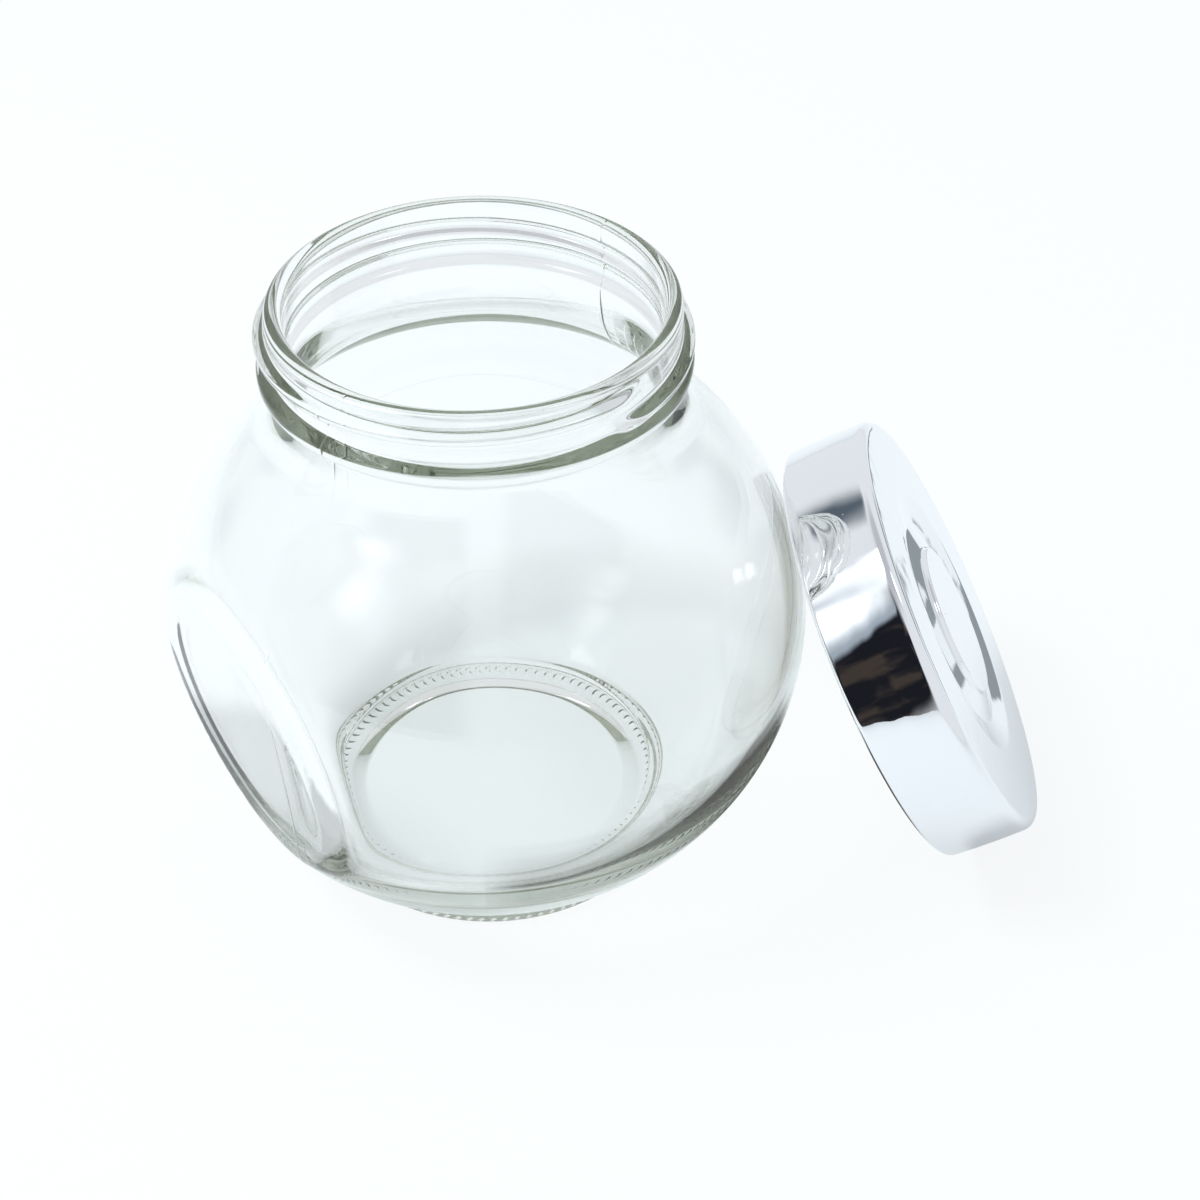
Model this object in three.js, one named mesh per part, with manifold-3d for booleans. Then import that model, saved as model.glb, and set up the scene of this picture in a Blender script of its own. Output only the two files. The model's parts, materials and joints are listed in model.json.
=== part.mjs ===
// A clear glass ball jar with a wide screw neck, and its chrome screw lid leaning against the jar's right side.
// Millimetres, +Z up. Four pieces: the jar, the lid shell, the threaded insert inside it and the seal liner.
import * as THREE from "three";
import { mergeVertices } from "three/addons/utils/BufferGeometryUtils.js";
import Module from "manifold-3d";

const wasm = await Module();
wasm.setup();

// ---- driving dimensions -------------------------------------------------------------------------------------
const turnSegments = 48; // facets round every turned piece

// Jar body: a slightly flattened ball on a low foot.
const body = { radius: 50, halfHeight: 46.5, centreZ: 41.1, wall: 2.8 };
const foot = { outerRadius: 30.1, innerRadius: 25.2, height: 3.2, edge: 0.5, pushUp: 1.6, pushUpRadius: 22 };
const floorInside = { z: 5.2, cornerRadius: 26.6 };
const heel = { z: 11, reach: 9, extraWall: 1.5 };

// Neck: shoulder curve, plain waist, a bead, and the screw finish up to a rounded lip.
const shoulder = { outerRadius: 36, innerRadius: 34.4 };
const waist = { radius: 29.2, topZ: 85.8 };
const bead = { radius: 31.3, bottomZ: 87.1, topZ: 90.3, edge: 0.7 };
const rim = { outerRadius: 29.6, boreRadius: 27, z: 97.6, lip: 1.1 };

// Screw thread: one start, right-handed. Azimuths run counterclockwise from +X, seen from above.
const thread = { pitch: 4.22, crestRadius: 31.3, fadeDegrees: 14 };
const jarThread = { sectionRadius: 1.2, startDegrees: -52, sweepDegrees: 376, startZ: 90.8 };

// The flat side panel, almost upright, on the jar's front left; its distance is from the ball's centre.
const sidePanel = { azimuthDegrees: -144.5, elevationDegrees: -4.6, distance: 44.2 };

// Lid shell, in its own frame: z = 0 at the open edge, +Z out through the top.
const shell = { radius: 34.85, height: 13.8, skin: 1, edgeRound: 1.6, openEdgeRound: 0.4 };
const button = { radius: 12.3, height: 14.3, edgeRound: 0.5, footSpread: 0.6 };
const recess = { outerRadius: 21.8, bottomRadius: 17, depth: 0.9, footDepth: 0.15 };

// Threaded insert and seal liner inside the shell.
const fitGap = 0.3;
const insert = { bottomZ: 0.8, topPlate: 1.2, boreRadius: 31.75, chamfer: 0.4 };
const insertThread = { sectionRadius: 1, crestRadius: 30.3, startDegrees: 20, sweepDegrees: 340, startZ: 2.4 };
const liner = { radius: 31.2, thickness: 1.2, edge: 0.25 };

// How the lid leans: its axis points out and up from the jar, and its lower edge stands on the ground.
const lean = { elevationDegrees: 28.5, sideOffset: 1, groundGap: 0.02 };

// ---- helpers --------------------------------------------------------------------------------------------------
const radians = THREE.MathUtils.degToRad;

/** Profile points from [radius, z] pairs. */
function points(...pairs) {
  return pairs.map(([r, z]) => new THREE.Vector2(r, z));
}

/** Profile points along an elliptical arc, from one angle to another in degrees. */
function arc(centre, radii, fromDegrees, toDegrees, steps) {
  return Array.from({ length: steps + 1 }, (_, i) => {
    const angle = radians(THREE.MathUtils.lerp(fromDegrees, toDegrees, i / steps));
    return new THREE.Vector2(centre[0] + radii[0] * Math.cos(angle), centre[1] + radii[1] * Math.sin(angle));
  });
}

/** A quarter-round edge of the given radius. */
function round(centre, radius, fromDegrees, toDegrees, steps = 3) {
  return arc(centre, [radius, radius], fromDegrees, toDegrees, steps);
}

/** A surface turned about +Z from profile points that start and end on the axis. */
function turned(profile) {
  return new THREE.LatheGeometry(profile, turnSegments).rotateX(Math.PI / 2);
}

/** Six times the signed volume that the triangles enclose; negative when they face inwards. */
function signedVolume(positions, triangles) {
  const corner = (i) => new THREE.Vector3().fromBufferAttribute(positions, triangles[i]);
  let sum = 0;
  for (let i = 0; i < triangles.length; i += 3) {
    sum += corner(i).dot(corner(i + 1).cross(corner(i + 2)));
  }
  return sum;
}

/** A closed geometry as a solid that can be joined and cut. */
function solidOf(geometry) {
  const bare = geometry.clone();
  bare.deleteAttribute("normal");
  bare.deleteAttribute("uv");
  const merged = mergeVertices(bare, 1e-5);
  const positions = merged.getAttribute("position");
  const corners = merged.index.array;
  const triangles = [];
  for (let i = 0; i < corners.length; i += 3) {
    const [a, b, c] = corners.slice(i, i + 3);
    if (a !== b && b !== c && c !== a) {
      triangles.push(a, b, c);
    }
  }
  if (signedVolume(positions, triangles) < 0) {
    triangles.reverse();
  }
  const vertProperties = new Float32Array(positions.array);
  return new wasm.Manifold(new wasm.Mesh({ numProp: 3, vertProperties, triVerts: new Uint32Array(triangles) }));
}

/** The surface of a solid, as a geometry. */
function geometryOf(solid) {
  const { vertProperties, triVerts } = solid.getMesh();
  const geometry = new THREE.BufferGeometry();
  geometry.setAttribute("position", new THREE.BufferAttribute(new Float32Array(vertProperties), 3));
  geometry.setIndex(new THREE.BufferAttribute(new Uint32Array(triVerts), 1));
  geometry.computeVertexNormals();
  return geometry;
}

/** A helix about +Z whose radius moves by `sink` at both ends, so that a ridge along it fades into its wall. */
class FadingHelix extends THREE.Curve {
  constructor(radius, sink, { startDegrees, sweepDegrees, startZ }) {
    super();
    Object.assign(this, { radius, sink, startDegrees, sweepDegrees, startZ });
  }

  getPoint(t) {
    const fromEnd = Math.min(t, 1 - t) * this.sweepDegrees;
    const r = this.radius + this.sink * (1 - THREE.MathUtils.smoothstep(fromEnd, 0, thread.fadeDegrees));
    const angle = radians(this.startDegrees + this.sweepDegrees * t);
    const z = this.startZ + (thread.pitch * this.sweepDegrees * t) / 360;
    return new THREE.Vector3(r * Math.cos(angle), r * Math.sin(angle), z);
  }
}

/** A round thread ridge along a helix. */
function ridge(helix, sectionRadius) {
  const section = new THREE.Shape().absarc(0, 0, sectionRadius, 0, 2 * Math.PI);
  const steps = Math.round((helix.sweepDegrees / 360) * turnSegments);
  return solidOf(new THREE.ExtrudeGeometry(section, { steps, extrudePath: helix, curveSegments: 5 }));
}

/** A block that holds everything beyond the side panel's plane, at a distance from the ball's centre. */
function beyondSidePanel(distance) {
  const size = 2 * body.radius;
  const polar = radians(90 - sidePanel.elevationDegrees);
  const azimuth = radians(sidePanel.azimuthDegrees);
  const outward = new THREE.Vector3(
    Math.sin(polar) * Math.cos(azimuth),
    Math.sin(polar) * Math.sin(azimuth),
    Math.cos(polar),
  );
  const block = new THREE.Mesh(new THREE.BoxGeometry(size, size, size));
  block.quaternion.setFromUnitVectors(new THREE.Vector3(0, 0, 1), outward);
  block.position.copy(outward).multiplyScalar(distance + size / 2);
  block.position.z += body.centreZ;
  block.updateMatrix();
  return solidOf(block.geometry.applyMatrix4(block.matrix));
}

// ---- glass jar ------------------------------------------------------------------------------------------------
/** The ball's profile between two radii, from below its equator to above it, set in by a wall. */
function ballProfile(lowRadius, highRadius, setIn, steps) {
  const radii = [body.radius - setIn, body.halfHeight - setIn];
  const low = -THREE.MathUtils.radToDeg(Math.acos(lowRadius / radii[0]));
  const high = THREE.MathUtils.radToDeg(Math.acos(highRadius / radii[0]));
  return arc([0, body.centreZ], radii, low, high, steps);
}

/** A smooth curve from the top of a ball profile, leaving along it, to a vertical wall at a radius. */
function shoulderProfile(ball, radius, z, steps) {
  const [before, top] = ball.slice(-2);
  const slope = (top.y - before.y) / (top.x - before.x);
  const bend = new THREE.Vector2(radius, top.y + slope * (radius - top.x));
  return new THREE.QuadraticBezierCurve(top, bend, new THREE.Vector2(radius, z)).getPoints(steps).slice(1);
}

function jarOutside() {
  const ball = ballProfile(foot.outerRadius + 0.4, shoulder.outerRadius, 0, 13);
  const lipCentre = [rim.outerRadius - rim.lip, rim.z - rim.lip];
  return turned([
    ...points([0, foot.pushUp], [foot.pushUpRadius, foot.pushUp - 0.3], [foot.innerRadius, 0]),
    ...points([foot.outerRadius - foot.edge, 0], [foot.outerRadius, foot.edge], [foot.outerRadius, foot.height]),
    ...ball,
    ...shoulderProfile(ball, waist.radius, waist.topZ, 4),
    ...points([bead.radius - bead.edge, bead.bottomZ], [bead.radius, bead.bottomZ + bead.edge]),
    ...points([bead.radius, bead.topZ - 2 * bead.edge], [rim.outerRadius, bead.topZ]),
    ...round(lipCentre, rim.lip, 0, 90),
    ...points([0, rim.z]),
  ]);
}

/** A ball profile set further in where the wall thickens at the heel. */
function thickenedAtHeel(profile) {
  return profile.map((point) => {
    const extra = heel.extraWall * Math.exp(-(((point.y - heel.z) / heel.reach) ** 2));
    const inward = new THREE.Vector2(0, body.centreZ).sub(point).setLength(extra);
    return point.clone().add(inward);
  });
}

function jarInside() {
  const ball = thickenedAtHeel(
    ballProfile(floorInside.cornerRadius + 0.5, shoulder.innerRadius, body.wall, 14),
  );
  const lipCentre = [rim.boreRadius + rim.lip, rim.z - rim.lip];
  const above = rim.z + 1;
  return turned([
    ...points([0, floorInside.z], [floorInside.cornerRadius, floorInside.z]),
    ...ball,
    ...shoulderProfile(ball, rim.boreRadius, waist.topZ - 2, 4),
    ...round(lipCentre, rim.lip, 180, 90),
    ...points([rim.boreRadius + rim.lip, above], [0, above]),
  ]);
}

function glassJar() {
  const pathRadius = thread.crestRadius - jarThread.sectionRadius;
  const sink = (rim.boreRadius + rim.outerRadius) / 2 - pathRadius;
  const blown = solidOf(jarOutside()).subtract(beyondSidePanel(sidePanel.distance));
  const hollow = solidOf(jarInside()).subtract(beyondSidePanel(sidePanel.distance - body.wall));
  const screw = ridge(new FadingHelix(pathRadius, sink, jarThread), jarThread.sectionRadius);
  return geometryOf(blown.add(screw).subtract(hollow));
}

// ---- lid, in its own frame ------------------------------------------------------------------------------------
/** The top of the shell from the axis to its edge: button, shallow groove and flat ring, moved down and in by a skin. */
function topProfile(skin) {
  const ringZ = shell.height - skin;
  const topZ = button.height - skin;
  const buttonRadius = button.radius - skin;
  return [
    ...points([0, topZ]),
    ...round([buttonRadius - button.edgeRound, topZ - button.edgeRound], button.edgeRound, 90, 0, 2),
    ...points([buttonRadius + button.footSpread, ringZ - recess.footDepth]),
    ...points([recess.bottomRadius, ringZ - recess.depth], [recess.outerRadius, ringZ]),
  ];
}

function lidShell() {
  const inner = shell.radius - shell.skin;
  const outerCentre = [shell.radius - shell.edgeRound, shell.height - shell.edgeRound];
  const innerRound = shell.edgeRound - shell.skin;
  const outline = [
    ...topProfile(0),
    ...round(outerCentre, shell.edgeRound, 90, 0, 5),
    ...round([shell.radius - shell.openEdgeRound, shell.openEdgeRound], shell.openEdgeRound, 0, -90, 2),
    ...points([inner + 0.2, 0], [inner, 0.2]),
    ...round([inner - innerRound, outerCentre[1]], innerRound, 0, 90, 2),
    ...topProfile(shell.skin).reverse(),
  ];
  return geometryOf(solidOf(turned(outline)));
}

const insertTopZ = shell.height - recess.depth - shell.skin - fitGap;
const linerTopZ = insertTopZ - insert.topPlate - fitGap;

function lidThreadInsert() {
  const outer = shell.radius - shell.skin - fitGap;
  const roofZ = insertTopZ - insert.topPlate;
  const cap = turned(
    points(
      [0, insertTopZ],
      [outer - insert.chamfer, insertTopZ],
      [outer, insertTopZ - insert.chamfer],
      [outer, insert.bottomZ],
      [insert.boreRadius + insert.chamfer, insert.bottomZ],
      [insert.boreRadius, insert.bottomZ + insert.chamfer],
      [insert.boreRadius, roofZ],
      [0, roofZ],
    ),
  );
  const pathRadius = insertThread.crestRadius + insertThread.sectionRadius;
  const sink = outer - insertThread.sectionRadius - 0.1 - pathRadius;
  const screw = ridge(new FadingHelix(pathRadius, sink, insertThread), insertThread.sectionRadius);
  return geometryOf(solidOf(cap).add(screw));
}

function sealLiner() {
  const bottomZ = linerTopZ - liner.thickness;
  return turned(
    points(
      [0, bottomZ],
      [liner.radius - liner.edge, bottomZ],
      [liner.radius, bottomZ + liner.edge],
      [liner.radius, linerTopZ - liner.edge],
      [liner.radius - liner.edge, linerTopZ],
      [0, linerTopZ],
    ),
  );
}

// ---- materials ------------------------------------------------------------------------------------------------
const clearGlass = new THREE.MeshStandardMaterial({
  color: 0xe6efec,
  roughness: 0.03,
  metalness: 0,
  transparent: true,
  opacity: 0.35,
});
const chromePlate = new THREE.MeshStandardMaterial({ color: 0xdfe3e8, roughness: 0.06, metalness: 1 });
const whitePlastic = new THREE.MeshStandardMaterial({ color: 0xeeeeea, roughness: 0.45, metalness: 0 });
const softFoam = new THREE.MeshStandardMaterial({ color: 0xf4f1e6, roughness: 0.8, metalness: 0 });

// ---- assembly ---------------------------------------------------------------------------------------------------
function piece(name, geometry, material) {
  const mesh = new THREE.Mesh(geometry, material);
  mesh.name = name;
  return mesh;
}

/** The closed lid, leaning: its open edge's lowest point on the ground and its upper edge against the ball. */
function leaningLid() {
  const lid = new THREE.Group();
  lid.add(piece("lid_shell", lidShell(), chromePlate));
  lid.add(piece("lid_thread_insert", lidThreadInsert(), whitePlastic));
  lid.add(piece("seal_liner", sealLiner(), softFoam));
  const [sine, cosine] = [Math.sin(radians(lean.elevationDegrees)), Math.cos(radians(lean.elevationDegrees))];
  const edge = shell.openEdgeRound;
  const centreZ = (shell.radius - edge) * cosine - edge * sine + edge + lean.groundGap;
  const ballReach = Math.hypot(body.radius * cosine, body.halfHeight * sine);
  const standOff = (ballReach + fitGap - (centreZ - body.centreZ) * sine) / cosine;
  lid.rotation.y = radians(90 - lean.elevationDegrees);
  lid.position.set(standOff, lean.sideOffset, centreZ);
  return lid;
}

const assembly = new THREE.Group();
assembly.add(piece("glass_jar", glassJar(), clearGlass));
assembly.add(leaningLid());

// The origin is the middle of the whole arrangement's footprint, on the ground.
const middle = new THREE.Box3().setFromObject(assembly, true).getCenter(new THREE.Vector3());
assembly.position.set(-middle.x, -middle.y, 0);

export default assembly;
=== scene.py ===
"""Looks for a clear glass ball jar and its chrome screw lid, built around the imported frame.

Metres, +Z up. Outlines are arrays of (radius, height) in millimetres about their own axis, scaled once when a mesh
is made. Azimuths run counterclockwise from +X, seen from above. Compass angles are 0 towards +Y and 90 towards +X.
Both are in degrees.
"""

import json
import math

import bpy
import numpy as np
from mathutils import Matrix, Vector


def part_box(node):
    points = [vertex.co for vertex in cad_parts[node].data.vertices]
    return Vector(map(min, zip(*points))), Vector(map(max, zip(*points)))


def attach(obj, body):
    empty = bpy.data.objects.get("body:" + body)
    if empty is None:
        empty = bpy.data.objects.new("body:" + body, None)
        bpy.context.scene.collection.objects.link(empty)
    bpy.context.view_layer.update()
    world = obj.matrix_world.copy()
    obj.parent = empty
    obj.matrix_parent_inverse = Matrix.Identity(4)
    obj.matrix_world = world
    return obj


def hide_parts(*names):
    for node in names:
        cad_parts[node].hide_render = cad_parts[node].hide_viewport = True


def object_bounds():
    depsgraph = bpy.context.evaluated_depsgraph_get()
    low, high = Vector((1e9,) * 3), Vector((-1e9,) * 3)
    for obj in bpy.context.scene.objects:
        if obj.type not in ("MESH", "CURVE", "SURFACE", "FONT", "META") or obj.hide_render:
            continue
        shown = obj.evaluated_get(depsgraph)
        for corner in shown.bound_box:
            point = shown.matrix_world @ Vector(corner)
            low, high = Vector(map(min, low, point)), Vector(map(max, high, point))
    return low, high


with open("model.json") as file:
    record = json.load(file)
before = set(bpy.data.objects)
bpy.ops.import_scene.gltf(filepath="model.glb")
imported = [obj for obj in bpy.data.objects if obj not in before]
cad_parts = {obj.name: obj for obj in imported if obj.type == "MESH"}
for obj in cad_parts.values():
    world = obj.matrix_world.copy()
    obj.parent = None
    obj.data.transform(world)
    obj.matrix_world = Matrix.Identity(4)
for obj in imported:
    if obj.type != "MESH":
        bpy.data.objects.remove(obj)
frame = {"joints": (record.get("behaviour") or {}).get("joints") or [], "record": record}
cad_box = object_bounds()

# ---- places and sizes from the frame ------------------------------------------------------------------------------
MM = 0.001
joints = {joint["name"]: joint for joint in frame["joints"]}
mounts = {mount["name"]: mount for mount in frame["record"]["mounts"]}

jar_low, jar_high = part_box("glass_jar")
jar_axis = Vector(((jar_low.x + jar_high.x) / 2, (jar_low.y + jar_high.y) / 2, 0))
ball_radius = (jar_high.x - jar_low.x) / 2 / MM
jar_height = jar_high.z / MM

panel_point = np.array(Vector(mounts["side_panel"]["pos_m"]) - jar_axis) / MM
panel_normal = np.array(mounts["side_panel"]["axis"])

lid_centre = Vector(joints["lid_turn"]["pos_m"])
lid_axis = Vector(joints["lid_turn"]["axis"]).normalized()
shell_low, shell_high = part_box("lid_shell")
lid_radius = (shell_high.y - shell_low.y) / 2 / MM

# ---- driving dimensions in millimetres and degrees ----------------------------------------------------------------
WALL = 2.8
BALL = {"centre": 41.1, "half_height": 46.5}
FOOT = {"outer": 30.1, "inner": 25.2, "height": 3.2, "edge": 0.5, "under_ball": 0.4, "face_top": 0.3}
PUSH_UP = {"radius": 22.0, "middle": 1.6, "fall": 0.3}
STIPPLES = {"count": 96, "radius": 27.4, "half_length": 1.0, "half_width": 0.36, "curve": 0.4, "depth": 0.3}
FLOOR_INSIDE = {"z": 5.2, "radius": 26.6, "under_ball": 0.5}
HEEL = {"z": 11.0, "reach": 9.0, "extra": 1.5}
SHOULDER = {"outer": 34.0, "inner": 32.2}
WAIST = {"radius": 29.2, "top": 85.8}
BEAD = {"radius": 31.3, "bottom": 87.1, "top": 90.3, "edge_width": 0.5, "edge_height": 0.6, "top_slope": 1.4}
RIM = {"outer": 29.6, "bore": 27.0, "lip": 1.1}
THREAD = {"pitch": 4.22, "crest": 31.3, "fade": 14.0, "squareness": 3.2}
JAR_THREAD = {"start": -52.0, "sweep": 376.0, "z": 90.8, "half_width": 1.0}
MOULD_SEAMS = {"azimuths": (-129.0, 51.0), "half_width": 0.16, "neck": 0.09, "ball": 0.03}
PANEL_SOFTNESS = {"outside": 0.7, "inside": 3.2}
WALL_WAVES = (
    {"size": 0.10, "around": 2, "up": 2.1, "phase": 0.4},
    {"size": 0.07, "around": 3, "up": -3.0, "phase": 2.0},
    {"size": 0.035, "around": 7, "up": 5.0, "phase": 0.0},
    {"size": 0.02, "around": 11, "up": -9.0, "phase": 1.0},
)

LID = {"height": 13.8, "skin": 1.0, "edge": 1.6, "open_edge": 0.4, "inside_edge": 0.2}
SKIRT = {"barrel": 0.6, "barrel_middle": 0.42}
RIPPLE = {"height": 0.008, "waves": 3, "middle": 0.5, "reach": 0.2}
BUTTON = {"radius": 12.3, "height": 14.3, "foot_width": 0.3}
GROOVE = {"radius": 21.8, "middle": 17.0, "depth": 0.9, "foot_depth": 0.15}
FIT_GAP = 0.3
INSERT = {"bottom": 0.8, "plate": 1.2, "bore": 31.75, "crest": 30.3, "edge": 0.4}
INSERT_THREAD = {"start": 20.0, "sweep": 340.0, "z": 2.4, "half_width": 0.9}
INSERT_TOP = LID["height"] - GROOVE["depth"] - LID["skin"] - FIT_GAP
LINER = {"radius": 31.2, "thickness": 1.2, "top": INSERT_TOP - INSERT["plate"] - FIT_GAP, "pressed": 0.12}
COLUMN_STEP = {"jar": 1.6, "lid": 1.5, "liner": 2.0}

# ---- the studio, in metres and degrees, but the foot's painted shade in millimetres from the jar's axis -----------
TABLE = {"half_width": 1.2, "under_foot": 0.00003}
# Painted shade: a ring round the jar's foot, in sectors, where the table turns dim for rays through the glass.
FOOT_SHADE = {"inner": 40.0, "outer": 69.0, "softness": 3.0}
FOOT_SHADE_SECTORS = (
    {"from": 76, "to": 176, "softness": 8, "depth": 1.0},
    {"from": -150, "to": -70, "softness": 16, "depth": 0.45},
)
# Painted reflection: two dim patches on the table behind the lid that only reflections in the chrome show.
GROOVE_SHADE = {"softness": 0.002, "brightness": 0.34}
GROOVE_SHADE_PLACES = (
    {"left": 0.100, "right": 0.134, "front": 0.046, "back": 0.089},
    {"left": 0.105, "right": 0.178, "front": 0.105, "back": 0.160},
)
BLEACHED_SHARE = 0.85

# Each window has its compass and elevation limits, and the softness of its left, right, low and high edges.
# A window lies over the ones before it.
STUDIO_WINDOWS = {
    "ceiling": {"limits": (-200, 200, 52, 100), "softness": (1, 1, 8, 1), "colour": (0.55, 0.57, 0.60)},
    "wall": {"limits": (-126, 200, -12, 62), "softness": (8, 1, 6, 10), "colour": (0.84, 0.87, 0.90)},
    "wall past the back": {"limits": (-200, -174, -12, 62), "softness": (1, 5, 6, 10), "colour": (0.84, 0.87, 0.90)},
    "gap in the wall": {"limits": (-64, -40, 34, 50), "softness": (6, 8, 6, 6), "colour": (0.10, 0.13, 0.16)},
    "low gap on the right": {"limits": (44, 66, -9, 12), "softness": (5, 5, 3, 5), "colour": (0.22, 0.26, 0.29)},
    "low gap on the left": {"limits": (-66, -54, -8, 6), "softness": (4, 4, 4, 4), "colour": (0.5, 0.54, 0.58)},
    "edge over the box": {"limits": (-124, -96, 42, 56), "softness": (4, 3, 3, 3), "colour": (1.15, 1.2, 1.25)},
    "frame of the box": {"limits": (-141, -112, 24, 48), "softness": (2, 6, 5, 6), "colour": (0.38, 0.44, 0.50)},
    "soft box": {"limits": (-131, -117, 29, 45), "softness": (8, 6, 7, 8), "colour": (2.4, 2.45, 2.5)},
    "strip on the left": {"limits": (-120, -93, 55, 66), "softness": (4, 4, 3, 3), "colour": (3.5, 3.6, 3.7)},
    "strip on the right": {"limits": (95, 115, 57, 67), "softness": (4, 4, 3, 3), "colour": (3.5, 3.6, 3.7)},
}
LAMP = {"compass": -102, "elevation": 60, "distance": 0.9, "width": 0.36, "depth": 0.18, "power": 6.4}
CAMERA = {"aside": -0.0024, "height": 0.0421, "distance": 0.3281, "elevation": 39.96, "lens": 62.54, "sensor": 36}


# ---- outlines -----------------------------------------------------------------------------------------------------
def arc(centre, radii, start, end, count):
    """Points along an elliptical arc, between two angles in degrees."""
    angles = np.radians(np.linspace(start, end, count))
    return np.column_stack((centre[0] + radii[0] * np.cos(angles), centre[1] + radii[1] * np.sin(angles)))


def bend(start, corner, end, count):
    """Points along a quadratic curve from start to end, drawn towards a corner."""
    t = np.linspace(0, 1, count)[:, None]
    start, corner, end = map(np.asarray, (start, corner, end))
    return (1 - t) ** 2 * start + 2 * t * (1 - t) * corner + t**2 * end


def joined(*stretches):
    """One outline from stretches of points."""
    return np.vstack([np.asarray(stretch, float).reshape(-1, 2) for stretch in stretches])


def evened(outline, step):
    """The outline with points at an even step along it."""
    outline = outline[np.r_[True, np.hypot(*np.diff(outline, axis=0).T) > 1e-9]]
    along = np.r_[0, np.cumsum(np.hypot(*np.diff(outline, axis=0).T))]
    at = np.linspace(0, along[-1], int(along[-1] / step) + 1)
    return np.column_stack([np.interp(at, along, outline[:, k]) for k in (0, 1)])


def softened(outline, rounding, step=0.05):
    """The outline with its corners rounded over about `rounding` millimetres. Both ends are on the axis."""
    fine = evened(outline, step)
    reach = int(4 * rounding / step)
    mirror = np.array((-1, 1))
    padded = np.vstack((fine[reach:0:-1] * mirror, fine, fine[-2 : -reach - 2 : -1] * mirror))
    weights = np.exp(-0.5 * (np.arange(-reach, reach + 1) * step / rounding) ** 2)
    weights /= weights.sum()
    soft = np.column_stack([np.convolve(padded[:, k], weights, "valid") for k in (0, 1)])
    soft[[0, -1], 0] = 0
    return soft


def thinned(outline, finest, coarsest, cap=None):
    """The outline with points close together where it bends and further apart where it is straight."""
    steps = np.hypot(*np.diff(outline, axis=0).T)
    heading = np.unwrap(np.arctan2(*np.diff(outline, axis=0).T[::-1]))
    turn = np.abs(np.gradient(heading)) / np.maximum(steps, 1e-9)
    spacing = np.clip(0.12 / np.maximum(turn, 1e-9), finest, coarsest)
    if cap is not None:
        spacing = np.minimum(spacing, cap(outline[:-1]))
    reach = 40
    spacing = np.array([spacing[max(0, i - reach) : i + reach].min() for i in range(len(spacing))])
    count = np.r_[0, np.cumsum(steps / spacing)]
    at = np.linspace(0, count[-1], int(math.ceil(count[-1])) + 1)
    return np.column_stack([np.interp(at, count, outline[:, k]) for k in (0, 1)])


# ---- meshes -------------------------------------------------------------------------------------------------------
def turned_grid(outline, azimuths):
    """Rows of points, one row for each outline point, turned about +Z at the given azimuths in degrees."""
    angles = np.radians(azimuths)
    radius, height = outline[:, :1], outline[:, 1:]
    flat = np.stack((radius * np.cos(angles), radius * np.sin(angles)), axis=-1)
    return np.concatenate((flat, np.broadcast_to(height[:, :, None], flat.shape[:2] + (1,))), axis=-1)


def split_azimuths(azimuths, parts):
    """Every step between azimuths divided into equal parts."""
    following = np.r_[azimuths[1:], azimuths[0] + 360]
    shares = np.arange(parts) / parts
    return (azimuths[:, None] + (following - azimuths)[:, None] * shares).ravel()


def band_faces(index):
    """Quads between neighbouring rows of point numbers that close round the axis."""
    following = np.roll(index, -1, axis=1)
    return np.stack((index[:-1], following[:-1], following[1:], index[1:]), axis=-1).reshape(-1, 4).tolist()


def narrowing_faces(fine, coarse, parts):
    """Triangles from a row of points to the next row, which has only one point for every few of the first."""
    faces = []
    turn = parts // 2 + 1
    for j in range(len(coarse)):
        near, far = coarse[j], coarse[(j + 1) % len(coarse)]
        steps = [fine[(parts * j + i) % len(fine)] for i in range(parts + 1)]
        faces += [(steps[i], steps[i + 1], near if i < turn else far) for i in range(parts)]
        faces.append((steps[turn], far, near))
    return faces


def closed_mesh(name, grid, fine_rows=0, parts=1):
    """A closed mesh from rows of points whose first and last rows are single points on the axis.

    Rows after the first `fine_rows` keep only every `parts`-th column.
    """
    fine, coarse = grid[1 : 1 + fine_rows], grid[1 + fine_rows : -1, ::parts]
    points = np.vstack((grid[:1, 0], fine.reshape(-1, 3), coarse.reshape(-1, 3), grid[-1:, 0])) * MM
    last = len(points) - 1
    fine_index = 1 + np.arange(fine[..., 0].size).reshape(fine.shape[:2])
    coarse_index = 1 + fine_index.size + np.arange(coarse[..., 0].size).reshape(coarse.shape[:2])
    faces = band_faces(coarse_index)
    if fine_rows:
        faces += band_faces(fine_index) + narrowing_faces(fine_index[-1], coarse_index[0], parts)
    first_row = fine_index[0] if fine_rows else coarse_index[0]
    faces += [(0, b, a) for a, b in zip(first_row, np.roll(first_row, -1))]
    faces += [(last, a, b) for a, b in zip(coarse_index[-1], np.roll(coarse_index[-1], -1))]
    mesh = bpy.data.meshes.new(name)
    mesh.from_pydata(points.tolist(), [], faces)
    mesh.polygons.foreach_set("use_smooth", [True] * len(mesh.polygons))
    mesh.update()
    return mesh


def helix_ridge(grid_z, azimuths, start, sweep, z, half_width):
    """How far a one-start thread stands out, from 0 to 1, at each height and azimuth."""
    ridge = np.zeros(np.broadcast(grid_z, azimuths).shape)
    for turn in (0, 1):
        travelled = (azimuths - start) % 360 + 360 * turn
        fade = np.clip(np.minimum(travelled, sweep - travelled) / THREAD["fade"], 0, 1)
        centre = z + THREAD["pitch"] * travelled / 360
        profile = np.exp(-(np.abs((grid_z - centre) / half_width) ** THREAD["squareness"]))
        ridge = np.maximum(ridge, profile * fade * fade * (3 - 2 * fade))
    return ridge


def pushed_out(grid, azimuths, distance):
    """The grid with its points moved away from the axis by a distance."""
    angles = np.radians(azimuths)
    moved = grid.copy()
    moved[..., 0] += distance * np.cos(angles)
    moved[..., 1] += distance * np.sin(angles)
    return moved


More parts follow.
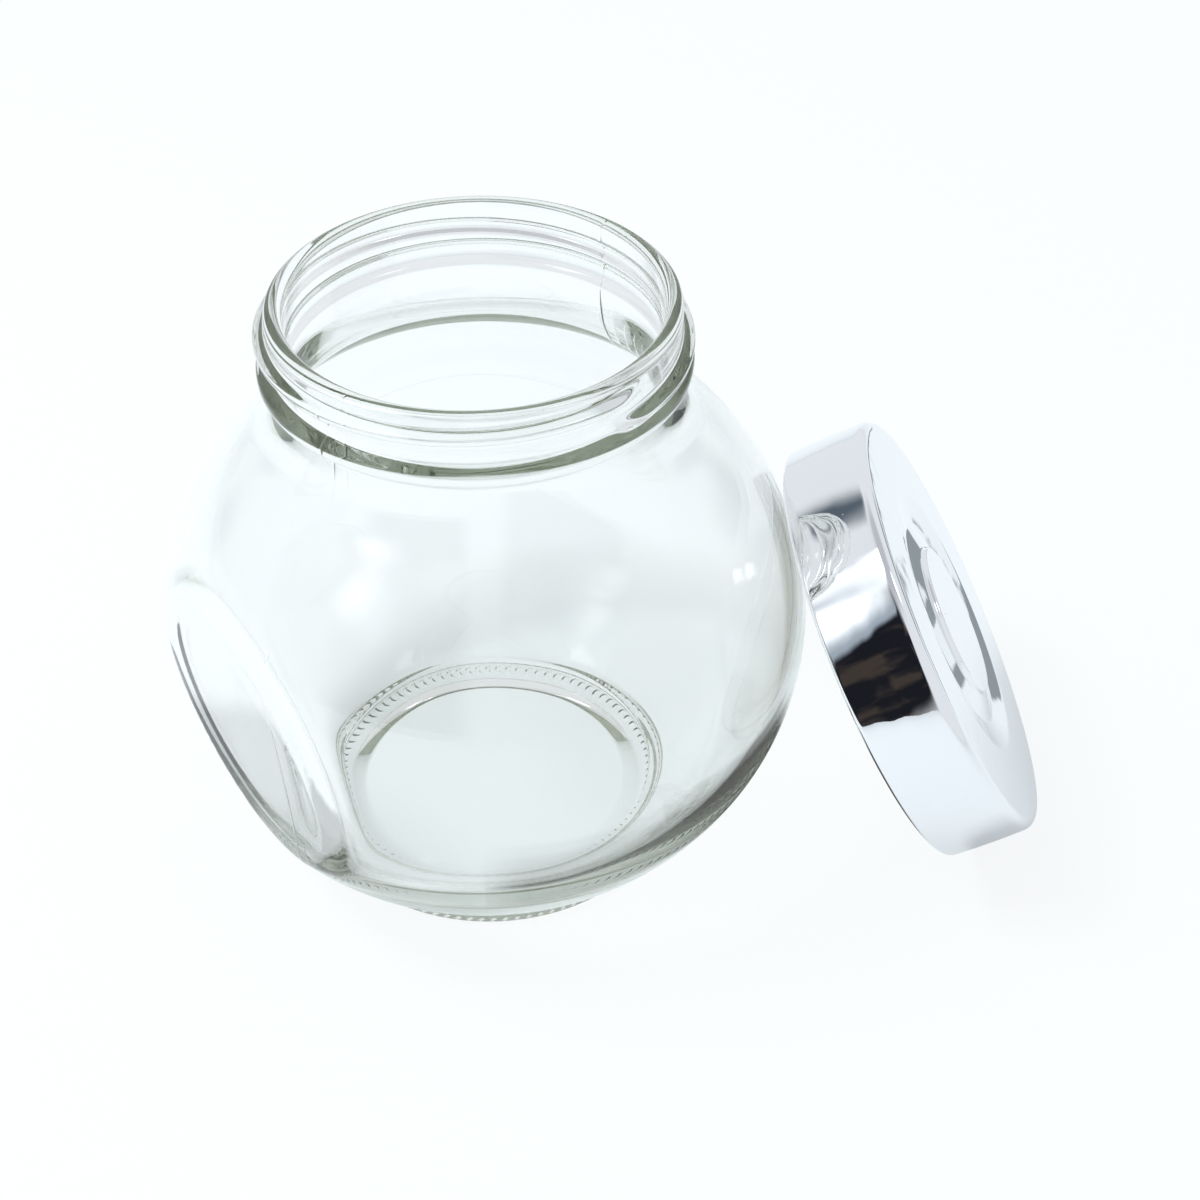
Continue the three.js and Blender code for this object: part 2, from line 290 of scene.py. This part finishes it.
def flattened(grid, depth, softness):
    """The grid with everything beyond the side panel's plane, set in by depth, brought softly back to it."""
    beyond = (grid - panel_point) @ panel_normal + depth
    blend = np.clip(0.5 + 0.5 * beyond / softness, 0, 1)
    kept = beyond * (1 - blend) - softness * blend * (1 - blend)
    return grid + (kept - beyond)[..., None] * panel_normal


def rising(value, start, length):
    """0 up to start, then a straight rise to 1 over a length."""
    return np.clip((value - start) / length, 0, 1)


def falling(value, end, length):
    """A straight fall from 1 to 0 over a length, which ends at end."""
    return np.clip((end - value) / length, 0, 1)


# ---- glass jar ----------------------------------------------------------------------------------------------------
def ball_stretch(low_radius, high_radius, set_in, count=120):
    """The ball's outline between two radii, from below its equator to above it."""
    radii = (ball_radius - set_in, BALL["half_height"] - set_in)
    low = -math.degrees(math.acos(low_radius / radii[0]))
    high = math.degrees(math.acos(high_radius / radii[0]))
    return arc((0, BALL["centre"]), radii, low, high, count)


def shoulder_stretch(ball, radius, z):
    """The shoulder: it leaves the ball along the ball's own slope and ends in an upright wall."""
    before, top = ball[-2:]
    slope = (top[1] - before[1]) / (top[0] - before[0])
    return bend(top, (radius, top[1] + slope * (radius - top[0])), (radius, z), 40)


def outside_outline():
    """The jar's outside, from the middle of its base to the top of its lip."""
    ball = ball_stretch(FOOT["outer"] + FOOT["under_ball"], SHOULDER["outer"], 0)
    foot_edge = FOOT["edge"]
    bead_edge = (BEAD["radius"] - BEAD["edge_width"], BEAD["bottom"])
    lip = RIM["lip"]
    return joined(
        [(0, PUSH_UP["middle"]), (PUSH_UP["radius"], PUSH_UP["middle"] - PUSH_UP["fall"]), (FOOT["inner"], 0)],
        [(FOOT["outer"] - foot_edge, 0), (FOOT["outer"], foot_edge), (FOOT["outer"], FOOT["height"])],
        ball,
        shoulder_stretch(ball, WAIST["radius"], WAIST["top"]),
        [bead_edge, (BEAD["radius"], BEAD["bottom"] + BEAD["edge_height"])],
        [(BEAD["radius"], BEAD["top"] - BEAD["top_slope"]), (RIM["outer"], BEAD["top"])],
        arc((RIM["outer"] - lip, jar_height - lip), (lip, lip), 0, 90, 12),
    )


def inside_outline():
    """The jar's inside, from the middle of its floor to the top of its lip, with a thicker wall at the heel."""
    ball = ball_stretch(FLOOR_INSIDE["radius"] + FLOOR_INSIDE["under_ball"], SHOULDER["inner"], WALL)
    thicker = HEEL["extra"] * np.exp(-(((ball[:, 1] - HEEL["z"]) / HEEL["reach"]) ** 2))
    inward = np.array((0, BALL["centre"])) - ball
    ball += inward / np.hypot(*inward.T)[:, None] * thicker[:, None]
    lip = RIM["lip"]
    return joined(
        [(0, FLOOR_INSIDE["z"]), (FLOOR_INSIDE["radius"], FLOOR_INSIDE["z"])],
        ball,
        shoulder_stretch(ball, RIM["bore"], WAIST["top"] - 2),
        arc((RIM["bore"] + lip, jar_height - lip), (lip, lip), 180, 90, 12),
    )


def jar_spacing(outline):
    """Close rows where the thread runs round the neck and where the stipples are."""
    radius, height = outline.T
    threaded = (radius > RIM["outer"] - 0.7) & (height > BEAD["top"] - 2)
    near_stipples = np.abs(radius - STIPPLES["radius"]) < 2 * STIPPLES["half_length"]
    stippled = near_stipples & (height < FOOT["face_top"])
    return np.where(threaded, 0.18, np.where(stippled, 0.16, np.inf))


def jar_azimuths():
    """Even columns, with more of them where the two mould seams run."""
    near_seam = np.array((-0.9, -0.5, -0.25, 0, 0.25, 0.5, 0.9))
    even = np.arange(0, 360, COLUMN_STEP["jar"])
    seams = [(seam + near_seam) % 360 for seam in MOULD_SEAMS["azimuths"]]
    return np.unique(np.concatenate([even] + seams))


def seam_height(grid, azimuths):
    """How far the two mould seams stand out, everywhere but on the foot and the lip."""
    radius = np.hypot(grid[..., 0], grid[..., 1])
    height = grid[..., 2]
    along = rising(height, FOOT["height"], 2) * falling(height, jar_height - 2, 1.5)
    ridge = 0
    for seam in MOULD_SEAMS["azimuths"]:
        across = np.radians((azimuths - seam + 180) % 360 - 180) * radius
        ridge = ridge + np.exp(-((across / MOULD_SEAMS["half_width"]) ** 2))
    on_neck = rising(height, WAIST["top"] - 6, 4)
    ridge_height = MOULD_SEAMS["ball"] + (MOULD_SEAMS["neck"] - MOULD_SEAMS["ball"]) * on_neck
    return ridge_height * ridge * along


def stipple_depth(grid, azimuths):
    """Short curved dents across the foot's bearing ring."""
    radius = np.hypot(grid[..., 0], grid[..., 1])
    outward = (radius - STIPPLES["radius"]) / STIPPLES["half_length"]
    pitch = 2 * math.pi * STIPPLES["radius"] / STIPPLES["count"]
    sideways = ((azimuths / 360 * STIPPLES["count"]) % 1 - 0.5) * pitch + STIPPLES["curve"] * outward**2
    dent = np.exp(-((sideways / STIPPLES["half_width"]) ** 2) - outward**4)
    return STIPPLES["depth"] * dent * (grid[..., 2] < FOOT["face_top"])


def hand_of_glass(grid, azimuths):
    """The slow unevenness that blowing leaves on the inside of the wall."""
    around = np.radians(azimuths)
    height = grid[..., 2]
    unevenness = 0
    for wave in WALL_WAVES:
        angle = wave["around"] * around + wave["up"] * height / ball_radius + wave["phase"]
        unevenness = unevenness + wave["size"] * np.sin(angle)
    return unevenness * rising(height, 8, 12) * falling(height, WAIST["top"] - 8, 14)


def glass_jar():
    """The jar. The foot has three times as many columns as the rest, for its stipples."""
    parts = 3
    azimuths = split_azimuths(jar_azimuths(), parts)
    whole = joined(outside_outline(), inside_outline()[::-1])
    outline = thinned(softened(whole, rounding=0.25), finest=0.12, coarsest=1.6, cap=jar_spacing)
    lip_row = int(np.argmax(outline[:, 1]))
    past_foot_face = (outline[:, 0] > FOOT["outer"] - 0.3) & (outline[:, 1] > FOOT["face_top"])
    foot_rows = int(np.argmax(past_foot_face))
    grid = turned_grid(outline, azimuths)
    outer, inner = grid[:lip_row], grid[lip_row:]
    height = outer[..., 2]

    thread = helix_ridge(height, azimuths, **JAR_THREAD)
    stand_out = thread * (THREAD["crest"] - RIM["outer"]) * (height > BEAD["bottom"])
    outer = flattened(pushed_out(outer, azimuths, stand_out), 0, PANEL_SOFTNESS["outside"])
    outer = pushed_out(outer, azimuths, seam_height(outer, azimuths))
    outer[..., 2] += stipple_depth(outer, azimuths)
    inner = flattened(inner, WALL, PANEL_SOFTNESS["inside"])
    inner = pushed_out(inner, azimuths, hand_of_glass(inner, azimuths))
    grid = np.concatenate((outer, inner))
    return piece("jar_glass", closed_mesh("jar_glass", grid, foot_rows, parts), clear_glass())


# ---- lid, in its own frame: z = 0 at the open edge, +Z out through the top ----------------------------------------
def top_stretch(skin):
    """The top from the axis to its outer ring: button and shallow groove, moved down and in by a skin."""
    button_z, ring_z = BUTTON["height"] - skin, LID["height"] - skin
    wall = BUTTON["radius"] - skin
    return joined(
        [(0, button_z), (wall, button_z), (wall + BUTTON["foot_width"], ring_z - GROOVE["foot_depth"])],
        [(GROOVE["middle"], ring_z - GROOVE["depth"]), (GROOVE["radius"], ring_z)],
    )


def skirt_stretch():
    """The skirt from its open edge up: slightly barrel shaped, with a shallow rolled ripple."""
    z = np.linspace(LID["open_edge"], LID["height"] - LID["edge"], 60)
    share = z / LID["height"]
    barrel = SKIRT["barrel"] * (share - SKIRT["barrel_middle"]) ** 2
    off_middle = share - RIPPLE["middle"]
    wave = np.sin(2 * math.pi * off_middle * RIPPLE["waves"])
    ripple = RIPPLE["height"] * wave * np.exp(-((off_middle / RIPPLE["reach"]) ** 2))
    return np.column_stack((lid_radius - barrel + ripple, z))


def lid_shell():
    """The chrome-plated shell, a skin with the same top inside and outside."""
    inner, edge = lid_radius - LID["skin"], LID["edge"]
    inner_edge = edge - LID["skin"]
    round_z = LID["height"] - edge
    skirt = skirt_stretch()
    inside_edge = LID["inside_edge"]
    outline = joined(
        top_stretch(LID["skin"]),
        arc((inner - inner_edge, round_z), (inner_edge, inner_edge), 90, 0, 8),
        [(inner, inside_edge), (inner + inside_edge, 0), (lid_radius - LID["open_edge"], 0)],
        skirt,
        arc((skirt[-1, 0] - edge, round_z), (edge, edge), 0, 90, 12),
        top_stretch(0)[::-1],
    )
    outline = thinned(softened(outline, rounding=0.16), finest=0.1, coarsest=0.5)
    grid = turned_grid(outline, np.arange(0, 360, COLUMN_STEP["lid"]))
    return lid_piece("lid_chrome_shell", closed_mesh("lid_chrome_shell", grid), chrome_plate())


def insert_spacing(outline):
    """Close rows where the insert's thread runs."""
    return np.where(outline[:, 0] > INSERT["bore"] - 1, 0.2, np.inf)


def lid_insert():
    """The plastic ring that carries the lid's thread, with a flat roof."""
    outer, bore, edge = lid_radius - LID["skin"] - FIT_GAP, INSERT["bore"], INSERT["edge"]
    roof = INSERT_TOP - INSERT["plate"]
    outline = joined(
        [(0, roof), (bore, roof), (bore, INSERT["bottom"] + edge)],
        [(bore + edge, INSERT["bottom"]), (outer, INSERT["bottom"])],
        [(outer, INSERT_TOP - edge), (outer - edge, INSERT_TOP), (0, INSERT_TOP)],
    )
    outline = thinned(softened(outline, rounding=0.12), finest=0.1, coarsest=1.5, cap=insert_spacing)
    azimuths = np.arange(0, 360, COLUMN_STEP["lid"])
    grid = turned_grid(outline, azimuths)
    radius = np.hypot(grid[..., 0], grid[..., 1])
    near = 0.3
    on_bore = (np.abs(radius - bore) < near) & (grid[..., 2] < roof - near)
    thread = helix_ridge(grid[..., 2], azimuths, **INSERT_THREAD) * on_bore
    grid = pushed_out(grid, azimuths, -thread * (bore - INSERT["crest"]))
    return lid_piece("lid_insert_ring", closed_mesh("lid_insert_ring", grid), white_plastic())


def seal_liner():
    """The soft disc that seals on the rim, with the ring that the rim has pressed into it."""
    bottom = LINER["top"] - LINER["thickness"]
    pressed_z = bottom + LINER["pressed"]
    slope = 0.4
    press_start, press_end = RIM["bore"] + 0.2, RIM["outer"]
    outline = joined(
        [(0, bottom), (press_start, bottom), (press_start + slope, pressed_z)],
        [(press_end - slope, pressed_z), (press_end, bottom), (LINER["radius"], bottom)],
        [(LINER["radius"], LINER["top"]), (0, LINER["top"])],
    )
    outline = thinned(softened(outline, rounding=0.12), finest=0.12, coarsest=1.5)
    grid = turned_grid(outline, np.arange(0, 360, COLUMN_STEP["liner"]))
    return lid_piece("lid_seal_liner", closed_mesh("lid_seal_liner", grid), soft_foam())


# ---- placing ------------------------------------------------------------------------------------------------------
def piece(name, mesh, material):
    """An object for a mesh in the jar's own frame."""
    made = bpy.data.objects.new(name, mesh)
    bpy.context.scene.collection.objects.link(made)
    mesh.materials.append(material)
    made.location = jar_axis
    return made


def lid_piece(name, mesh, material):
    """An object for a mesh in the lid's own frame."""
    made = piece(name, mesh, material)
    across = Vector((0, 0, 1)).cross(lid_axis).normalized()
    turn = Matrix((across.cross(lid_axis), across, lid_axis)).transposed().to_4x4()
    made.matrix_world = Matrix.Translation(lid_centre) @ turn
    return made


# ---- node helpers -------------------------------------------------------------------------------------------------
class Nodes:
    """Short calls for building a node tree."""

    def __init__(self, tree):
        tree.nodes.clear()
        self.tree = tree

    def add(self, kind, inputs=None, **settings):
        node = self.tree.nodes.new(kind)
        for key, value in settings.items():
            setattr(node, key, value)
        for key, value in (inputs or {}).items():
            if isinstance(value, bpy.types.NodeSocket):
                self.tree.links.new(value, node.inputs[key])
            else:
                node.inputs[key].default_value = value
        return node

    def math(self, operation, *values):
        return self.add("ShaderNodeMath", dict(enumerate(values)), operation=operation).outputs[0]

    def ramp(self, value, start, end, low=0.0, high=1.0):
        """A smooth change from low to high as value goes from start to end."""
        inputs = {"Value": value, "From Min": start, "From Max": end, "To Min": low, "To Max": high}
        return self.add("ShaderNodeMapRange", inputs, interpolation_type="SMOOTHSTEP").outputs[0]

    def between(self, value, low, high, low_softness, high_softness):
        """1 where value is between low and high and 0 outside, with a soft edge at each."""
        rise = self.ramp(value, low - low_softness, low + low_softness)
        fall = self.ramp(value, high + high_softness, high - high_softness)
        return self.math("MULTIPLY", rise, fall)

    def noise(self, vector, scale, detail=2.0, roughness=0.5):
        inputs = {"Vector": vector, "Scale": scale, "Detail": detail, "Roughness": roughness}
        return self.add("ShaderNodeTexNoise", inputs).outputs["Fac"]

    def bump(self, height, distance, normal=None):
        inputs = {"Height": height, "Distance": distance, "Strength": 1.0}
        if normal is not None:
            inputs["Normal"] = normal
        return self.add("ShaderNodeBump", inputs).outputs[0]

    def mix_colour(self, factor, first, second):
        inputs = {0: factor, 6: first, 7: second}
        return self.add("ShaderNodeMix", inputs, data_type="RGBA").outputs[2]


def new_material(name):
    material = bpy.data.materials.new(name)
    material.use_nodes = True
    return material, Nodes(material.node_tree)


# ---- materials ----------------------------------------------------------------------------------------------------
def clear_glass():
    """Soda-lime glass: clear, olive where the path through it is long.

    Lamplight passes it unbent, and less of it where it grazes the wall, so the ball throws a ring of shadow.
    """
    material, n = new_material("clear_glass")
    place = n.add("ShaderNodeTexCoord").outputs["Object"]
    flow = n.noise(place, scale=55, detail=1.0)
    surface = n.add("ShaderNodeBsdfPrincipled", {
        "Base Color": (1, 1, 1, 1),
        "Roughness": 0.0,
        "IOR": 1.52,
        "Transmission Weight": 1.0,
        "Normal": n.bump(flow, distance=0.00004),
    }).outputs[0]
    ray = n.add("ShaderNodeLightPath").outputs
    unbent = n.math("MAXIMUM", ray["Is Shadow Ray"], ray["Is Diffuse Ray"])
    grazing = n.ramp(n.add("ShaderNodeLayerWeight", {"Blend": 0.5}).outputs["Facing"], 0.45, 0.9)
    passed = n.mix_colour(grazing, (0.97, 0.98, 0.98, 1), (0.26, 0.28, 0.26, 1))
    through = n.add("ShaderNodeBsdfTransparent", {"Color": passed}).outputs[0]
    mixed = n.add("ShaderNodeMixShader", {0: unbent, 1: surface, 2: through}).outputs[0]
    depth = n.add("ShaderNodeVolumeAbsorption", {"Color": (0.735, 0.762, 0.695, 1), "Density": 34.0}).outputs[0]
    n.add("ShaderNodeOutputMaterial", {"Surface": mixed, "Volume": depth})
    return material


def chrome_plate():
    """Bright chrome with faint unevenness, tiny pits and a few rubbed spots."""
    material, n = new_material("chrome_plate")
    place = n.add("ShaderNodeTexCoord").outputs["Object"]
    wavy = n.noise(place, scale=150, detail=1.0)
    fine = n.noise(place, scale=480, detail=1.0)
    rubbed = n.ramp(n.noise(place, scale=260, detail=4.0, roughness=0.6), 0.55, 0.75, low=0.025, high=0.055)
    cells = n.add("ShaderNodeTexVoronoi", {"Vector": place, "Scale": 300.0}).outputs
    chosen = n.math("GREATER_THAN", n.add("ShaderNodeSeparateColor", {0: cells["Color"]}).outputs[0], 0.8)
    pits = n.math("SUBTRACT", 1.0, n.math("MULTIPLY", chosen, n.ramp(cells["Distance"], 0.06, 0.02)))
    tint = n.mix_colour(pits, (0.35, 0.36, 0.38, 1), (0.87, 0.885, 0.905, 1))
    uneven = n.bump(fine, distance=0.000006, normal=n.bump(wavy, distance=0.00005))
    surface = n.add("ShaderNodeBsdfPrincipled", {
        "Base Color": tint,
        "Metallic": 1.0,
        "Roughness": rubbed,
        "Normal": n.bump(pits, distance=0.00001, normal=uneven),
    }).outputs[0]
    n.add("ShaderNodeOutputMaterial", {"Surface": surface})
    return material


def white_plastic():
    """Moulded white plastic with a fine satin grain."""
    material, n = new_material("white_plastic")
    place = n.add("ShaderNodeTexCoord").outputs["Object"]
    grain = n.noise(place, scale=2600)
    cloud = n.noise(place, scale=90)
    surface = n.add("ShaderNodeBsdfPrincipled", {
        "Base Color": n.mix_colour(cloud, (0.86, 0.86, 0.84, 1), (0.91, 0.91, 0.90, 1)),
        "Roughness": n.ramp(grain, 0.3, 0.7, low=0.34, high=0.5),
        "Subsurface Weight": 0.2,
        "Subsurface Radius": (0.004, 0.004, 0.003),
        "Normal": n.bump(grain, distance=0.00002),
    }).outputs[0]
    n.add("ShaderNodeOutputMaterial", {"Surface": surface})
    return material


def soft_foam():
    """Pale closed-cell foam with small pores."""
    material, n = new_material("liner_foam")
    place = n.add("ShaderNodeTexCoord").outputs["Object"]
    cells = n.add("ShaderNodeTexVoronoi", {"Vector": place, "Scale": 1500.0}).outputs["Distance"]
    pores = n.ramp(cells, 0.1, 0.5)
    surface = n.add("ShaderNodeBsdfPrincipled", {
        "Base Color": n.mix_colour(pores, (0.80, 0.78, 0.72, 1), (0.90, 0.885, 0.83, 1)),
        "Roughness": 0.85,
        "Normal": n.bump(pores, distance=0.00005),
    }).outputs[0]
    n.add("ShaderNodeOutputMaterial", {"Surface": surface})
    return material


def foot_shade(n, x, y):
    """How far the painted shade covers the table round the foot, from 0 to 1: it is painted where the ball's
    overhang and the leaning lid would shade the table.
    """
    across, away = n.math("SUBTRACT", x, jar_axis.x), n.math("SUBTRACT", y, jar_axis.y)
    squares = [n.math("MULTIPLY", side, side) for side in (across, away)]
    radius = n.math("MULTIPLY", n.math("SQRT", n.math("ADD", *squares)), 1 / MM)
    blur = FOOT_SHADE["softness"]
    ring = n.between(radius, FOOT_SHADE["inner"], FOOT_SHADE["outer"], blur, blur)
    compass = n.math("MULTIPLY", n.math("ARCTAN2", across, away), 180 / math.pi)
    shade = 0.0
    for sector in FOOT_SHADE_SECTORS:
        soft = sector["softness"]
        inside = n.between(compass, sector["from"], sector["to"], soft, soft)
        shade = n.math("ADD", shade, n.math("MULTIPLY", inside, sector["depth"]))
    return n.math("MULTIPLY", ring, shade)


def groove_shade(n, x, y):
    """Painted reflection: two dim patches on the table, behind the lid, that only the chrome shows, for the groove
    in the lid's top to reflect.
    """
    soft = GROOVE_SHADE["softness"]
    shade = 0.0
    for place in GROOVE_SHADE_PLACES:
        across = n.between(x, place["left"], place["right"], soft, soft)
        away = n.between(y, place["front"], place["back"], soft, soft)
        shade = n.math("ADD", shade, n.math("MULTIPLY", across, away))
    return shade


def pale_table():
    """A plain pale table.

    The camera sees it bleached, as in the photo, with only faint shadows. In the glass, up to one wall deep, it
    shows its shade round the jar's foot, and the chrome sees two dark places behind the lid.
    """
    # Painted shade round the foot, and a painted reflection of two dim patches behind the lid; the camera sees
    # neither.
    material, n = new_material("pale_table")
    x, y, _ = n.add("ShaderNodeSeparateXYZ", {0: n.add("ShaderNodeNewGeometry").outputs["Position"]}).outputs
    ray = n.add("ShaderNodeLightPath").outputs
    diffuse = n.add("ShaderNodeBsdfDiffuse", {"Color": (0.455, 0.48, 0.49, 1)}).outputs[0]
    glow = n.add("ShaderNodeEmission", {"Color": (0.95, 1.0, 1.03, 1), "Strength": 0.37}).outputs[0]
    lit = n.add("ShaderNodeAddShader", {0: diffuse, 1: glow}).outputs[0]

    # A ray through one wall has crossed two faces.
    through_one_wall = n.math("LESS_THAN", ray["Transmission Depth"], 2.5)
    # Painted shade: a dim emission stands in for the lit table round the foot.
    dark = n.add("ShaderNodeEmission", {"Color": (1, 1, 0.97, 1), "Strength": 0.11}).outputs[0]
    round_foot = n.math("MULTIPLY", foot_shade(n, x, y), through_one_wall)
    shaded = n.add("ShaderNodeMixShader", {0: round_foot, 1: lit, 2: dark}).outputs[0]

    # Painted reflection: a dim grey emission stands in for the table in two patches that only the chrome sees.
    outside_glass = n.math("LESS_THAN", ray["Transmission Depth"], 0.5)
    off_chrome = n.math("MULTIPLY", ray["Is Glossy Ray"], outside_glass)
    grey = {"Color": (0.9, 1, 1.08, 1), "Strength": GROOVE_SHADE["brightness"]}
    dim = n.add("ShaderNodeEmission", grey).outputs[0]
    behind_lid = n.math("MULTIPLY", groove_shade(n, x, y), off_chrome)
    reflected = n.add("ShaderNodeMixShader", {0: behind_lid, 1: shaded, 2: dim}).outputs[0]

    bleached = n.add("ShaderNodeEmission", {"Color": (0.98, 0.995, 1.0, 1), "Strength": 1.0}).outputs[0]
    faint = n.add("ShaderNodeMixShader", {0: BLEACHED_SHARE, 1: lit, 2: bleached}).outputs[0]
    shown = n.add("ShaderNodeMixShader", {0: ray["Is Camera Ray"], 1: reflected, 2: faint}).outputs[0]
    n.add("ShaderNodeOutputMaterial", {"Surface": shown})
    return material


# ---- studio -------------------------------------------------------------------------------------------------------
def table_top():
    """A large flat table just under the jar's foot."""
    half = TABLE["half_width"]
    corners = [(-half, -half, 0), (half, -half, 0), (half, half, 0), (-half, half, 0)]
    mesh = bpy.data.meshes.new("table_top")
    mesh.from_pydata(corners, [], [(0, 1, 2, 3)])
    mesh.materials.append(pale_table())
    table = bpy.data.objects.new("table_top", mesh)
    table.location.z = -TABLE["under_foot"]
    bpy.context.scene.collection.objects.link(table)


def studio_world():
    """A dark room with the studio's windows, by direction. The camera sees only a plain pale backdrop."""
    world = bpy.data.worlds.new("studio")
    world.use_nodes = True
    bpy.context.scene.world = world
    n = Nodes(world.node_tree)
    direction = n.add("ShaderNodeTexCoord").outputs["Generated"]
    x, y, z = n.add("ShaderNodeSeparateXYZ", {0: direction}).outputs
    compass = n.math("MULTIPLY", n.math("ARCTAN2", x, y), 180 / math.pi)
    elevation = n.math("MULTIPLY", n.math("ARCSINE", z), 180 / math.pi)

    blotches = n.ramp(n.noise(direction, scale=7.0), 0.5, 0.68)
    room = n.mix_colour(blotches, (0.012, 0.013, 0.018, 1), (0.055, 0.044, 0.038, 1))
    behind_camera = n.math("MULTIPLY", n.ramp(n.math("ABSOLUTE", compass), 140, 168), n.ramp(elevation, 38, 52))
    light = n.mix_colour(behind_camera, room, (0.42, 0.44, 0.44, 1))
    for window in STUDIO_WINDOWS.values():
        left, right, low, high = window["limits"]
        soft_left, soft_right, soft_low, soft_high = window["softness"]
        across = n.between(compass, left, right, soft_left, soft_right)
        upright = n.between(elevation, low, high, soft_low, soft_high)
        light = n.mix_colour(n.math("MULTIPLY", across, upright), light, (*window["colour"], 1))

    seen = n.add("ShaderNodeLightPath").outputs["Is Camera Ray"]
    shown = n.mix_colour(seen, light, (0.90, 0.93, 0.95, 1))
    background = n.add("ShaderNodeBackground", {"Color": shown, "Strength": 1.0}).outputs[0]
    n.add("ShaderNodeOutputWorld", {"Surface": background})


def key_light():
    """A soft lamp, high on the left, that only lights and shades things; nothing shows its reflection."""
    lamp = bpy.data.objects.new("key_light", bpy.data.lights.new("key_light", "AREA"))
    lamp.data.shape = "RECTANGLE"
    lamp.data.size = LAMP["width"]
    lamp.data.size_y = LAMP["depth"]
    lamp.data.energy = LAMP["power"]
    turn, rise = math.radians(LAMP["compass"]), math.radians(LAMP["elevation"])
    towards = Vector((math.sin(turn) * math.cos(rise), math.cos(turn) * math.cos(rise), math.sin(rise)))
    lamp.location = jar_axis + towards * LAMP["distance"]
    lamp.rotation_euler = towards.to_track_quat("Z", "Y").to_euler()
    for unseen_by in ("camera", "glossy", "transmission"):
        setattr(lamp, f"visible_{unseen_by}", False)
    bpy.context.scene.collection.objects.link(lamp)


def camera_view():
    """The camera, looking along +Y and down at a point near the middle of the jar and lid together."""
    target = Vector(((cad_box[0].x + cad_box[1].x) / 2 + CAMERA["aside"], 0, CAMERA["height"]))
    camera = bpy.data.objects.new("camera", bpy.data.cameras.new("camera"))
    bpy.context.scene.collection.objects.link(camera)
    camera.data.lens = CAMERA["lens"]
    camera.data.sensor_width = CAMERA["sensor"]
    tilt = math.radians(CAMERA["elevation"])
    camera.location = target + Vector((0, -math.cos(tilt), math.sin(tilt))) * CAMERA["distance"]
    camera.rotation_euler = (math.pi / 2 - tilt, 0, 0)
    camera.data.clip_start = 0.01
    camera.data.clip_end = 20
    bpy.context.scene.camera = camera


def picture_settings():
    """Plain colours, and enough bounces for light to pass through every wall of glass."""
    scene = bpy.context.scene
    scene.view_settings.view_transform = "Standard"
    scene.view_settings.look = "None"
    cycles = scene.cycles
    cycles.max_bounces = 40
    cycles.transmission_bounces = 40
    cycles.glossy_bounces = 40
    cycles.diffuse_bounces = 3
    cycles.transparent_max_bounces = 24
    cycles.sample_clamp_indirect = 8
    cycles.caustics_reflective = False


# ---- assembly -----------------------------------------------------------------------------------------------------
def put_on_body(made, body, node):
    """A visible piece that rides on a body and stands for a CAD node."""
    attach(made, body)
    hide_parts(node)


put_on_body(glass_jar(), "jar", "glass_jar")
put_on_body(lid_shell(), "lid", "lid_shell")
put_on_body(lid_insert(), "lid", "lid_thread_insert")
put_on_body(seal_liner(), "liner", "seal_liner")

table_top()
studio_world()
key_light()
camera_view()
picture_settings()
